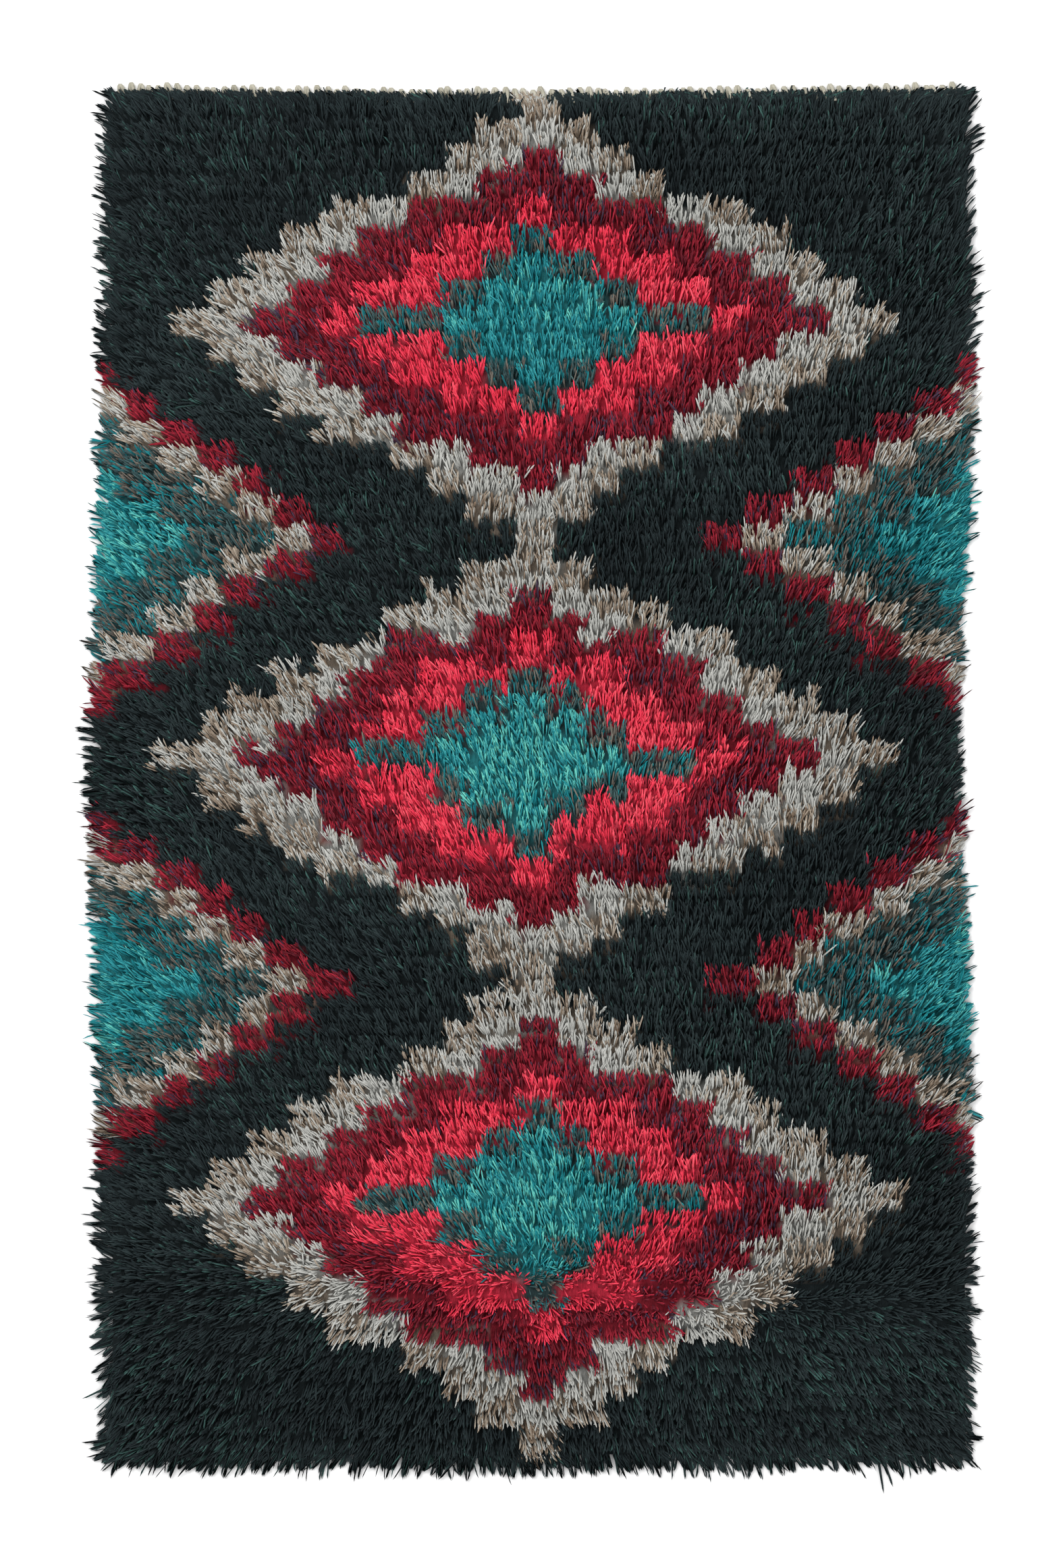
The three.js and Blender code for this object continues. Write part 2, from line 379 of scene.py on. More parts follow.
# %% [markdown]
# ## Forms of strand
# With so many strands it is quicker to treat each of their properties as one long array than
# to loop. Three forms make the depth of the pile: short ones fill it between the rows too,
# fine ones by the dozen give it its body, and a few full ones, longer and with a bend, lie on
# top. A fourth form, low and short, covers the selvedge at both sides and the lower end, and a
# short table lists the few yarns that stray past the edges. A strand starts and ends in a
# point, as its root is never seen, and only the longer forms need two stations between the
# points.

# %% Forms of strand
FULL_STATIONS = [
    # along the strand, share of its reach, share of its crest, share of its width
    (0.00, 0.00, 0.15, 0.00),
    (0.45, 0.36, 0.84, 0.95),
    (0.90, 0.89, 1.00, 0.95),
    (1.00, 1.00, 0.94, 0.00),
]
SINGLE_STATION = [
    (0.00, 0.00, 0.15, 0.00),
    (0.87, 0.85, 1.00, 1.00),
    (1.00, 1.00, 0.95, 0.00),
]
FORMS = {
    "short": {
        "to_a_knot": 5.0,
        "reach": (13.0, 19.0),
        "half_width": (1.0, 1.5),
        "crest": (0.50, 0.80),
        "over_the_row": 7.2,
        # the short strands lie low between the rows, so their shade is set this much lower on the
        # lot's ramp: a painted shade
        "painted_shade": 0.25,
        "stations": SINGLE_STATION,
    },
    "full": {
        "to_a_knot": 3.0,
        "reach": (19.0, 26.0),
        "half_width": (0.55, 0.80),
        "crest": (0.80, 1.02),
        "stations": FULL_STATIONS,
    },
    "fine": {
        "to_a_knot": 13.2,
        "reach": (15.5, 21.5),
        "half_width": (0.50, 0.80),
        "crest": (0.66, 0.94),
        "stations": SINGLE_STATION,
    },
    "selvedge": {
        "reach": (9.0, 17.0),
        "half_width": (1.0, 1.5),
        "crest": (0.30, 0.62),
        "stations": SINGLE_STATION,
    },
    "stray": {
        "half_width": (1.0, 1.3),
        "crest": (0.50, 0.60),
        "stations": FULL_STATIONS,
    },
}
STRAYS = [
    # u, v, degrees anticlockwise from +X, reach, bend
    (344, -687, -82, 54, 0.02),
    (345, -687, -83, 51, 0.02),
    (343, -687, -81, 48, 0.02),
    (346, -687, -76, 49, 0.09),
    (347, -687, -76, 46, 0.08),
    (425, -343, -20, 34, -0.06),
    (425, -346, -16, 32, -0.10),
    (424, -340, -25, 34, 0.02),
    (423, -349, -12, 31, -0.12),
    (425, -122, 12, 33, -0.10),
    (424, 268, 18, 34, -0.12),
    (-425, -410, 172, 36, 0.10),
    (-424, 330, 158, 34, 0.12),
    (-212, -687, -104, 38, 0.14),
]

# %% [markdown]
# Which lot a yarn comes from is a draw by lot in the true sense. The draw is biased by broad
# soft lumps, stretched along the rows, because a weaver uses up one hank before the next. Two
# more questions are answered here for any place on the rug: which tuft a tip there clings to,
# and how near the edges it is, where strands are longer. How far a strand may hang over is a
# least length with a random part of some more, and some stretches of the edges get more yet.

# %% Lots, tufts and edges
HANK = {"drift": 0.16, "stretch": 0.45}
SHADE = {"middle": 0.45, "lumps": 0.24, "stretch": 0.5, "knot": 0.30, "yarn": 0.16}
TUFT = {
    "across": 11.0,
    "along": 9.0,
    "scatter": 0.42,
    "pull": (0.02, 0.16),
    "rim_pull": 0.66,
    "rim_reach": 16.0,
    "rim_thinner": 0.20,
}
OVERHANG = {"least": 12.0, "more": 20.0, "lumps": 5.5}
LONGER = {
    # what strands are longer by, where along the rug that begins, and over what length it
    # grows up the rug, or down where that is negative
    "upper_left": (3.0, 120.0, 340.0),
    "upper_right": (7.0, 120.0, 340.0),
    "lower_left": (5.5, 190.0, -250.0),
    "lower_end": (4.0, 40.0 - HALF_V, -30.0),
}
SELVEDGE = {"pitch": 1.7, "inset": 2.5}
UPPER_EDGE = {"at": HALF_V - 0.6, "scatter": 2.3, "drift": 2.0, "root_margin": 6.0}


def draw_lots(area, u, v):
    """A lot for each place, drawn from the mixture of its area of colour."""
    drift = HANK["drift"] * lumps(u * HANK["stretch"], v, "hank")
    draw = np.clip(rng.random(len(u)) + drift, 0, 1)
    lot = np.zeros(len(u), int)
    for index, name in enumerate(AREAS):
        mixture = MIXTURES[name]
        limits = np.cumsum(list(mixture.values()))
        chosen = np.minimum(np.searchsorted(limits, draw), len(mixture) - 1)
        lots = np.array([LOTS.index(each) for each in mixture])
        lot = np.where(area == index, lots[chosen], lot)
    return lot


def nearest_tuft(u, v):
    """The tuft point closest to each place, and how strongly it pulls."""
    i, j = np.floor(u / TUFT["across"]), np.floor(v / TUFT["along"])
    best = np.full(u.shape, np.inf)
    at_u, at_v, pull = np.zeros(u.shape), np.zeros(u.shape), np.zeros(u.shape)
    low, high = TUFT["pull"]
    for di in (-1, 0, 1):
        for dj in (-1, 0, 1):
            a, b = i + di, j + dj
            tuft_u = (a + 0.5 + TUFT["scatter"] * scatter(a, b, TUFT_ACROSS)) * TUFT["across"]
            tuft_v = (b + 0.5 + TUFT["scatter"] * scatter(a, b, TUFT_ALONG)) * TUFT["along"]
            away = np.hypot(tuft_u - u, tuft_v - v)
            closer = away < best
            best = np.where(closer, away, best)
            at_u, at_v = np.where(closer, tuft_u, at_u), np.where(closer, tuft_v, at_v)
            strength = low + (high - low) * (0.5 + 0.5 * scatter(a, b, TUFT_PULL))
            pull = np.where(closer, strength, pull)
    return at_u, at_v, pull


def past_cloth(u, v):
    """How far a place lies past the sides or the lower end of the cloth."""
    return np.maximum(np.abs(u) - HALF_U, -HALF_V - v)


def rim_share(u, v):
    """1 for the outermost knots on all four sides, falling to 0 within a few knots."""
    past = np.maximum(past_cloth(u, v), v - HALF_V + RIM["top_margin"])
    return ease((past + RIM["knots"]) / RIM["blend"])


def longer_by(u, v):
    """What the strands at the sides and at the lower end are longer by."""
    by = {key: most * ease((v - start) / over) for key, (most, start, over) in LONGER.items()}
    side = np.where(u < 0, by["lower_left"] + by["upper_left"], by["upper_right"])
    return np.maximum(side, by["lower_end"]) * rim_share(u, v)


yarn_area = knot_area[yarn_knot]
yarn_lot = draw_lots(yarn_area, yarn_u, yarn_v)
yarn_shade = SHADE["middle"] + SHADE["lumps"] * lumps(yarn_u * SHADE["stretch"], yarn_v, "shade")
shade_of_knot = SHADE["knot"] * (knot_shade[yarn_knot] - 0.5)
yarn_shade += shade_of_knot + rng.normal(0, SHADE["yarn"], yarn_number)

# %% [markdown]
# ## The path of a strand
# From above, one mostly sees the outer half of a strand. It climbs steeply out of its knot,
# leans over, and lies down with its tip a little lower. Neighbouring tips cling together in
# pointed tufts, most of all along the edges, so each tip is drawn part of the way to the
# nearest of a set of scattered points. Past the edge of the cloth nothing holds a strand up,
# and it droops towards the floor. The outermost knots get more, longer and thinner strands,
# because nothing lies over them. Where the pile parts, near the crown, the strands stand up.
# At the upper end they stop at a slightly uneven line, where the loops come out.

# %% Centre lines
STRAND = {
    "spread": 1.1,
    "swing": math.radians(4),
    "loose_swing": math.radians(40),
    "bend": 0.07,
    "roll": 0.5,
    "shade": 0.12,
    "own_lot": 0.65,
    "inset": 2.0,
    "root_above": 0.2,
    "standing_reach": 0.5,
    "least_reach": 0.4,
    "least_height": 1.6,
}
# how far inside the edge a strand begins to droop, over what length and by what share
DROOP = {"from": 4.0, "over": 24.0, "by": 0.76, "over_end": 20.0, "by_end": 0.45}


def strands_of_knots(to_a_knot):
    """The yarn of each strand of one form."""
    wanted = to_a_knot * (1 + RIM["more"] * rim_share(knot_u, knot_v))
    number = np.floor(wanted + rng.random(len(knot_u))).astype(int)
    knot = np.repeat(np.arange(len(knot_u)), number)
    return knot * YARNS["to_a_knot"] + rng.integers(0, YARNS["to_a_knot"], len(knot))


def nearest_yarn(u, v):
    """A yarn of the knot nearest to each place."""
    column = np.clip(np.round((u - columns[0]) / KNOT["across"]), 0, len(columns) - 1)
    row = np.clip(np.round((v - rows[0]) / KNOT["along"]), 0, len(rows) - 1)
    knot = (row * len(columns) + column).astype(int)
    return knot * YARNS["to_a_knot"] + rng.integers(0, YARNS["to_a_knot"], len(knot))


def strands_of_selvedge():
    """Places close together along both sides and the lower end."""
    inset = STRAND["inset"]
    side = np.arange(-HALF_V + inset, HALF_V - RIM["top_margin"], SELVEDGE["pitch"])
    end = np.arange(-HALF_U + inset, HALF_U - inset, SELVEDGE["pitch"])
    in_u, in_v = HALF_U - SELVEDGE["inset"], -HALF_V + SELVEDGE["inset"]
    u = np.concatenate([np.full(len(side), -in_u), np.full(len(side), in_u), end])
    return u, np.concatenate([side, side, np.full(len(end), in_v)])


def strand_roots(form):
    """Where the strands of one form are tied in, and the yarn of each."""
    if form is FORMS["stray"]:
        u, v = np.array(STRAYS, float).T[:2]
        return u, v, nearest_yarn(u, v)
    if form is FORMS["selvedge"]:
        u, v = strands_of_selvedge()
        return u, v, nearest_yarn(u, v)
    yarn = strands_of_knots(form["to_a_knot"])
    n = len(yarn)
    u = yarn_u[yarn] + rng.normal(0, STRAND["spread"], n)
    if "over_the_row" in form:
        v = knot_v[yarn_knot[yarn]] + rng.uniform(-1, 1, n) * form["over_the_row"]
    else:
        v = yarn_v[yarn] + rng.normal(0, STRAND["spread"], n)
    in_u, in_v = HALF_U - STRAND["inset"], HALF_V - STRAND["inset"]
    return np.clip(u, -in_u, in_u), np.clip(v, -in_v, HALF_V - RIM["top_margin"]), yarn


def strand_run(form, u, v, yarn):
    """The heading of each strand, its reach, its bend and how strongly a tuft pulls its tip."""
    if form is FORMS["stray"]:
        degrees, reach, bend = np.array(STRAYS, float).T[2:]
        return np.radians(degrees), reach, bend, np.zeros(len(u))
    n = len(yarn)
    angle, flatness = lie_of_pile(u, v)
    own_swing = STRAND["swing"] + STRAND["loose_swing"] * (1 - flatness)
    angle = angle + yarn_swing[yarn] + rng.normal(0, 1, n) * own_swing
    lying = STRAND["standing_reach"] + (1 - STRAND["standing_reach"]) * flatness
    reach = rng.uniform(*form["reach"], n) * yarn_reach[yarn] * lying
    longer = longer_by(u, v)
    reach = reach * (1 + RIM["longer"] * rim_share(u, v)) + longer
    bend = yarn_bend[yarn] + rng.normal(0, STRAND["bend"], n)
    over = past_cloth(u + np.cos(angle) * reach, v + np.sin(angle) * reach)
    over -= OVERHANG["least"] + OVERHANG["more"] * rng.random(n) + longer
    over -= OVERHANG["lumps"] * lumps(u, v, "overhang")
    reach = reach * np.clip(1 - np.maximum(over, 0) / reach, STRAND["least_reach"], 1)
    at_rim = ease((past_cloth(u, v) + TUFT["rim_reach"]) / TUFT["rim_reach"])
    return angle, reach, bend, TUFT["rim_pull"] * at_rim


def draw_form(form):
    """Everything about one form of strand: where each runs, its width, lot and shade."""
    u, v, yarn = strand_roots(form)
    n = len(yarn)
    angle, reach, bend, rim_pull = strand_run(form, u, v, yarn)
    cos, sin = np.cos(angle), np.sin(angle)
    crest = pile_height(u, v) * rng.uniform(*form["crest"], n)
    tip_u = u + cos * reach - sin * bend * reach
    tip_v = v + sin * reach + cos * bend * reach
    tuft_u, tuft_v, pull = nearest_tuft(tip_u, tip_v)
    pull = (pull + rim_pull) * (form is not FORMS["stray"])
    pull_u, pull_v = pull * (tuft_u - tip_u), pull * (tuft_v - tip_v)
    upper_limit = UPPER_EDGE["at"] + rng.normal(0, UPPER_EDGE["scatter"], n)
    upper_limit += UPPER_EDGE["drift"] * lumps(u, v, "upper edge")
    lines = np.zeros((n, len(form["stations"]), 3))
    for k, (along, out, up, _) in enumerate(form["stations"]):
        aside = bend * along**2 * reach
        at_u = u + cos * out * reach - sin * aside + pull_u * along**2
        at_v = v + sin * out * reach + cos * aside + pull_v * along**2
        at_v = np.minimum(at_v, upper_limit - (1 - along) * UPPER_EDGE["root_margin"])
        droop = ease((past_cloth(at_u, at_v) + DROOP["from"]) / DROOP["over"])
        over_end = ease((at_v - HALF_V + RIM["top_margin"]) / DROOP["over_end"])
        z = up * crest * (1 - DROOP["by"] * droop) * (1 - DROOP["by_end"] * over_end)
        x, y = lay(at_u, at_v)
        lines[:, k] = np.stack([x, y, np.maximum(z, STRAND["least_height"])], axis=1)
    lines[:, 0, 2] = CLOTH_THICK + STRAND["root_above"]
    own = rng.random(n) < STRAND["own_lot"]
    shade = yarn_shade[yarn] + rng.normal(0, STRAND["shade"], n)
    thinner = 1 - TUFT["rim_thinner"] * rim_share(u, v)
    return {
        "lines": lines,
        "half_width": rng.uniform(*form["half_width"], n) * thinner,
        "roll": rng.uniform(-STRAND["roll"], STRAND["roll"], n),
        "lot": np.where(own, draw_lots(yarn_area[yarn], u, v), yarn_lot[yarn]),
        # painted shade: the short strands take a darker place on the lot's ramp for lying low in the
        # furrows
        "shade": np.clip(shade - form.get("painted_shade", 0.0), 0, 1),
    }


drawn = {name: draw_form(form) for name, form in FORMS.items()}
for name, strands in drawn.items():
    heights = strands["lines"][..., 2]
    print(f"{len(heights)} {name} strands, up to {heights.max():.1f} mm high")
for index, lot in enumerate(LOTS):
    number = sum(np.sum(strands["lot"] == index) for strands in drawn.values())
    print(f"  {lot}: {number} strands")

# %% [markdown]
# ## From centre lines to meshes
# A strand is a long thin closed form: its upper side runs from the root over its stations to
# the tip, and two walls below meet in a keel from root to tip. That costs four triangles with
# one station and eight with two. Every strand of a form has the same faces, so they are
# written once and repeated with an offset. Each corner also carries where it is on its
# strand, around and along, with a number of the strand's own: the material paints and twists
# the yarn with these. A layout, in which each strand has a small cell of the sheet to itself,
# is there for baking the colours later.
#
# Light sinks into fuzzy wool and comes out again all round, so a strand has no sharp dark side.
# A well-known way to get this with plain shading is to turn the normals of each strand part of
# the way towards the pile's own, which is straight up.

# %% Build one lot of yarn as a mesh
SOFTNESS = 0.70
TRIANGLES_TO_A_STATION = 4
KEEL_DEPTH = 0.3
LEFT, MIDDLE, RIGHT, KEEL, LEFT_AGAIN = 0.0, 0.25, 0.5, 0.75, 1.0
STRAND_NUMBERS = 50.0
CELL = {"shape": 3.2, "margin_around": 0.12, "margin_along": 0.06}
TINY = 1e-6


def unit(vectors):
    """Vectors of length one that point the same ways."""
    return vectors / np.maximum(np.linalg.norm(vectors, axis=-1, keepdims=True), TINY)


def strand_faces(stations):
    """The faces of one strand, and for each of their corners the way around and along it."""
    inner = stations[1:-1]
    tip = 2 * len(inner) + 1
    first, last = inner[0][0], inner[-1][0]
    faces = [[0, 2, 1], [tip - 2, tip - 1, tip], [0, 1, tip], [2, 0, tip]]
    corners = [(MIDDLE, 0.0), (RIGHT, first), (LEFT, first)]
    corners += [(LEFT, last), (RIGHT, last), (MIDDLE, 1.0)]
    corners += [(KEEL, 0.0), (LEFT_AGAIN, first), (KEEL, 1.0)]
    corners += [(RIGHT, first), (KEEL, 0.0), (KEEL, 1.0)]
    for k in range(1, len(inner)):
        left, right = 2 * k + 1, 2 * k + 2
        low, high = inner[k - 1][0], inner[k][0]
        faces += [[left - 2, right - 2, right, left], [left - 2, left, tip], [right, right - 2, tip]]
        corners += [(LEFT, low), (RIGHT, low), (RIGHT, high), (LEFT, high)]
        corners += [(LEFT_AGAIN, low), (LEFT_AGAIN, high), (KEEL, 1.0)]
        corners += [(RIGHT, high), (RIGHT, low), (KEEL, 1.0)]
    return faces, np.array(corners)


def strand_points(line, half_width, roll, stations):
    """The points of some strands: the root, left and right at each station, and then the tip."""
    heading = unit(line[:, -1, :2] - line[:, 0, :2])
    cos, sin = np.cos(roll), np.sin(roll)
    right = np.stack([heading[:, 1] * cos, -heading[:, 0] * cos, sin], axis=1)
    points = np.zeros((len(line), 2 * len(stations) - 2, 3))
    points[:, 0] = line[:, 0]
    points[:, -1] = line[:, -1]
    for k in range(1, len(stations) - 1):
        along, width = stations[k][0], half_width * stations[k][3]
        centre = line[:, k].copy()
        keel = line[:, 0, 2] * (1 - along) + line[:, -1, 2] * along
        centre[:, 2] = np.maximum(centre[:, 2], keel + KEEL_DEPTH + width * np.abs(sin))
        points[:, 2 * k - 1] = centre - right * width[:, None]
        points[:, 2 * k] = centre + right * width[:, None]
    return points


def mesh_from_arrays(name, points, corners, sizes, softness=0.0, smooth=True):
    """A mesh from its points, the point at each corner, and the number of corners of each face."""
    mesh = bpy.data.meshes.new(name)
    mesh.vertices.add(len(points))
    mesh.vertices.foreach_set("co", (points * MM).astype(np.float32).ravel())
    mesh.loops.add(len(corners))
    mesh.loops.foreach_set("vertex_index", corners.astype(np.int32))
    mesh.polygons.add(len(sizes))
    starts = np.concatenate([[0], np.cumsum(sizes)[:-1]])
    mesh.polygons.foreach_set("loop_start", starts.astype(np.int32))
    mesh.polygons.foreach_set("use_smooth", np.full(len(sizes), smooth))
    mesh.update(calc_edges=True)
    if softness:
        normals = np.zeros(len(points) * 3, np.float32)
        mesh.vertex_normals.foreach_get("vector", normals)
        soft = normals.reshape(-1, 3) * (1 - softness) + np.array([0, 0, softness])
        mesh.normals_split_custom_set_from_vertices(unit(soft))
    return mesh


def add_piece(name, mesh, material, slot, *nodes):
    """Put a mesh in the scene as a piece that rides on the rug's one body."""
    piece = bpy.data.objects.new(name, mesh)
    bpy.context.collection.objects.link(piece)
    mesh.materials.append(material)
    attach(piece, "root")
    if nodes:
        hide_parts(*nodes)
    return piece


def add_values(mesh, name, kind, domain, key, values):
    """Store a value for each point or corner of a mesh, for its material to read."""
    mesh.attributes.new(name, kind, domain).data.foreach_set(key, values.ravel())


def lay_out_for_baking(mesh, ways, cells, number):
    """Lay each strand out in a cell of its own, by the way around and along it."""
    wide = math.ceil(math.sqrt(number * CELL["shape"]))
    high = math.ceil(number / wide)
    left, low = CELL["margin_around"], CELL["margin_along"]
    at_x = (cells % wide + left + (1 - 2 * left) * ways[:, 0]) / wide
    at_y = (cells // wide + low + (1 - 2 * low) * ways[:, 1]) / high
    layout = mesh.uv_layers.new(name="OFBake")
    layout.data.foreach_set("uv", np.stack([at_x, at_y], axis=1).ravel())


def lot_mesh(name, lot, hank, hanks):
    """All the strands of one hank as one mesh, with what its material and the baking read."""
    points, corners, sizes, yarn, dye, cells = [], [], [], [], [], []
    made = first_point = 0
    for kind, strands in drawn.items():
        stations = FORMS[kind]["stations"]
        which = np.flatnonzero(strands["lot"] == lot)[hank::hanks]
        faces, ways = strand_faces(stations)
        body = [strands[key][which] for key in ("lines", "half_width", "roll")]
        at = strand_points(*body, stations)
        n, on_each = at.shape[:2]
        on_one = np.concatenate([np.array(face) for face in faces])
        corners.append((on_one[None, :] + first_point + on_each * np.arange(n)[:, None]).ravel())
        sizes.append(np.tile([len(face) for face in faces], n))
        points.append(at.reshape(-1, 3))
        number = np.repeat(rng.uniform(0, STRAND_NUMBERS, n), len(ways))
        around, along = np.tile(ways, (n, 1)).T
        yarn.append(np.stack([around, along, number], axis=1))
        dye.append(np.repeat(strands["shade"][which], on_each))
        cells.append(np.repeat(made + np.arange(n), len(ways)))
        first_point += n * on_each
        made += n
    points, corners, sizes, yarn, dye, cells = (
        np.concatenate(parts) for parts in (points, corners, sizes, yarn, dye, cells)
    )
    mesh = mesh_from_arrays(name, points, corners, sizes, SOFTNESS)
    add_values(mesh, "yarn", "FLOAT_VECTOR", "CORNER", "vector", yarn)
    add_values(mesh, "dye", "FLOAT", "POINT", "value", dye)
    lay_out_for_baking(mesh, yarn, cells, made)
    print(f"{name}: {made} strands, {int(np.sum(sizes - 2))} triangles")
    return mesh


# %% [markdown]
# ## Writing materials as sums
# A material is a little network of nodes. To read like a formula, one small class holds a
# node's output and knows how to add, subtract and multiply. Any other node comes from the one
# method `node`, which takes the kind of node, its settings and what goes into its sockets.

# %% A socket that can be used in sums
class Wire:
    """The output of a node, or a whole material when it holds none."""

    def __init__(self, tree, socket=None):
        self.tree = tree
        self.socket = socket

    def node(self, kind, settings=None, output=0, **inputs):
        """Add a node. Its sockets are named by their words, or as i0, i1 by their place."""
        made = self.tree.nodes.new(kind)
        for key, value in (settings or {}).items():
            if key == "stops":
                ramp = made.color_ramp.elements
                while len(ramp) < len(value):
                    ramp.new(0.5)
                for stop, (position, colour) in zip(ramp, value):
                    stop.position = position
                    stop.color = (*colour, 1.0)
            else:
                setattr(made, key, value)
        for key, value in inputs.items():
            place = int(key[1:]) if key[0] == "i" and key[1:].isdigit() else key.replace("_", " ")
            if isinstance(value, Wire):
                self.tree.links.new(value.socket, made.inputs[place])
            else:
                made.inputs[place].default_value = value
        return Wire(self.tree, made.outputs[output] if made.outputs else None)

    def sum(self, operation, first, second):
        """One step of arithmetic, of which either side may be a plain number."""
        return self.node("ShaderNodeMath", {"operation": operation}, i0=first, i1=second)

    def __add__(self, other):
        return self.sum("ADD", self, other)

    def __radd__(self, other):
        return self.sum("ADD", other, self)

    def __sub__(self, other):
        return self.sum("SUBTRACT", self, other)

    def __rsub__(self, other):
        return self.sum("SUBTRACT", other, self)

    def __mul__(self, other):
        return self.sum("MULTIPLY", self, other)

    def __pow__(self, other):
        return self.sum("POWER", self, other)

    def sine(self):
        """The sine of this number, in radians."""
        return self.node("ShaderNodeMath", {"operation": "SINE"}, i0=self)

    def limited(self):
        """This number, but no less than 0 and no more than 1."""
        return self.node("ShaderNodeClamp", Value=self)

    def mixed(self, first, second):
        """Two colours mixed, with this number as the share of the second."""
        return self.node(
            "ShaderNodeMix", {"data_type": "RGBA"}, output=2, i0=self, i6=first, i7=second
        )

    def raised(self, wool):
        """A surface raised by this number, as far and as strongly as the table says."""
        strength, relief = wool["relief_strength"], wool["relief"]
        return self.node("ShaderNodeBump", Height=self, Strength=strength, Distance=relief)


BLACK = (0.0, 0.0, 0.0, 1.0)


def from_screen(colour):
    """A colour from 0 to 255 as screens show it, in the light values that Blender mixes."""
    shares = np.array(colour) / 255
    return tuple(np.where(shares <= 0.04045, shares / 12.92, ((shares + 0.055) / 1.055) ** 2.4))


def new_material(name):
    """A material with an empty network and its output, ready for a surface."""
    material = bpy.data.materials.new(name)
    material.use_nodes = True
    material.node_tree.nodes.clear()
    return material, Wire(material.node_tree)


def finish_material(wires, colour, roughness, normal, fixed):
    """Close a network with a surface. What is fixed is set on the shader's own sockets."""
    surface = wires.node(
        "ShaderNodeBsdfPrincipled", Base_Color=colour, Roughness=roughness, Normal=normal
    )
    shader = surface.socket.node
    for key, value in fixed.items():
        shader.inputs[key].default_value = value
    wires.node("ShaderNodeOutputMaterial", Surface=surface)


# %% [markdown]
# ## Dyed wool
# Rya yarn is a loosely spun two-ply wool with some shine. Its colour is a ramp between the
# shades of its lot, read at the strand's own shade, with thin streaks where lighter and darker
# fibres were carded together. The deep part of a strand is darkened towards black, a painted
# shade for the shadow down in the pile, in pale wool a little less so, and the tip is a little
# lighter. The two plies are a sine that climbs round the strand, and the fibres a fine noise
# drawn out along it. Both raise the surface, and the plies tint it slightly too. Wool this dark
# would go grey with the usual gloss, so very little of it is left.

# %% The yarn's material
# how much painted shade darkens the deep part of a strand towards black, in dark wool and in pale
DARK_ROOT_SHADE = 0.65
PALE_ROOT_SHADE = 0.57
PALE_LOTS = ["grey", "fawn"]
WOOL = {
    "fibres_around": 7.0,
    "fibres_along": 2.2,
    "fibres_apart": 3.0,
    "fibre_scale": 1.6,
    # in radians, along the whole strand
    "ply_climb": 26.0,
    "streaks": 0.7,
    "ply_tint": 0.10,
    "tip_tint": 0.2,
    "tint_offset": 0.08,
    # how quickly the painted shade at the root fades out along the strand
    "root_shade_slope": 1.35,
    "ply_height": 0.5,
    "fibre_height": 1.1,
    "relief": 0.0007,
    "relief_strength": 0.55,
    "roughness": 0.62,
    "fibre_roughness": 0.20,
    "gloss": 0.06,
}


def yarn_material(lot):
    """The material of one lot, which reads the strands' own values."""
    material, wires = new_material(f"{lot}_yarn")
    place = wires.node("ShaderNodeAttribute", {"attribute_name": "yarn"}, output="Vector")
    split = wires.node("ShaderNodeSeparateXYZ", Vector=place)
    around, along, number = (Wire(wires.tree, out) for out in split.socket.node.outputs)
    dye = wires.node("ShaderNodeAttribute", {"attribute_name": "dye"}, output="Fac")

    fibre_at = wires.node(
        "ShaderNodeCombineXYZ",
        X=around * WOOL["fibres_around"],
        Y=along * WOOL["fibres_along"],
        Z=number * WOOL["fibres_apart"],
    )
    scale = WOOL["fibre_scale"]
    fibres = wires.node("ShaderNodeTexNoise", Vector=fibre_at, Scale=scale, Detail=3.0)
    shades = [from_screen(colour) for colour in DYES[lot]]
    stops = [(k / (len(shades) - 1), colour) for k, colour in enumerate(shades)]
    plies = (along * WOOL["ply_climb"] + around * 2 * math.pi + number).sine()
    tint = dye + (fibres - 0.5) * WOOL["streaks"] + plies * WOOL["ply_tint"]
    tint = tint + along**3.0 * WOOL["tip_tint"] - WOOL["tint_offset"]
    dyed = wires.node("ShaderNodeValToRGB", {"stops": stops}, Fac=tint.limited())

    # painted shade: the deep part of the strand is mixed towards black, for the shadow down in the
    # pile
    depth = (1.0 - along * WOOL["root_shade_slope"]).limited()
    depth = depth * (PALE_ROOT_SHADE if lot in PALE_LOTS else DARK_ROOT_SHADE)
    colour = depth.mixed(dyed, BLACK)

    height = plies * WOOL["ply_height"] + fibres * WOOL["fibre_height"]
    roughness = WOOL["roughness"] + fibres * WOOL["fibre_roughness"]
    fixed = {"Specular IOR Level": WOOL["gloss"]}
    finish_material(wires, colour, roughness, height.raised(WOOL), fixed)
    return material


yarn_materials = {lot: yarn_material(lot) for lot in LOTS}
print("yarn lots:", ", ".join(LOTS))

# %% [markdown]
# ## Hanks
# One lot may hold more strands than a single mesh should, so it is dealt out to as many hanks
# as it needs. All the hanks together stand for the slab and the four rims of the solid model.

# %% The pile, hank by hank
MOST_TRIANGLES = 150_000
STANDS_FOR = ["shag_pile"] + [f"rim_locks_{edge}" for edge in ("left", "right", "bottom", "top")]
pile_pieces = []
for index, lot in enumerate(LOTS):
    triangles = 0
    for kind, strands in drawn.items():
        on_each = TRIANGLES_TO_A_STATION * (len(FORMS[kind]["stations"]) - 2)
        triangles += on_each * np.sum(strands["lot"] == index)
    hanks = math.ceil(triangles / MOST_TRIANGLES)
    for hank in range(hanks):
        name = f"pile_{lot}" if hanks == 1 else f"pile_{lot}_hank_{hank + 1}"
        mesh = lot_mesh(name, index, hank, hanks)
        pile_pieces.append(add_piece(name, mesh, yarn_materials[lot], f"{lot}_yarn", *STANDS_FOR))
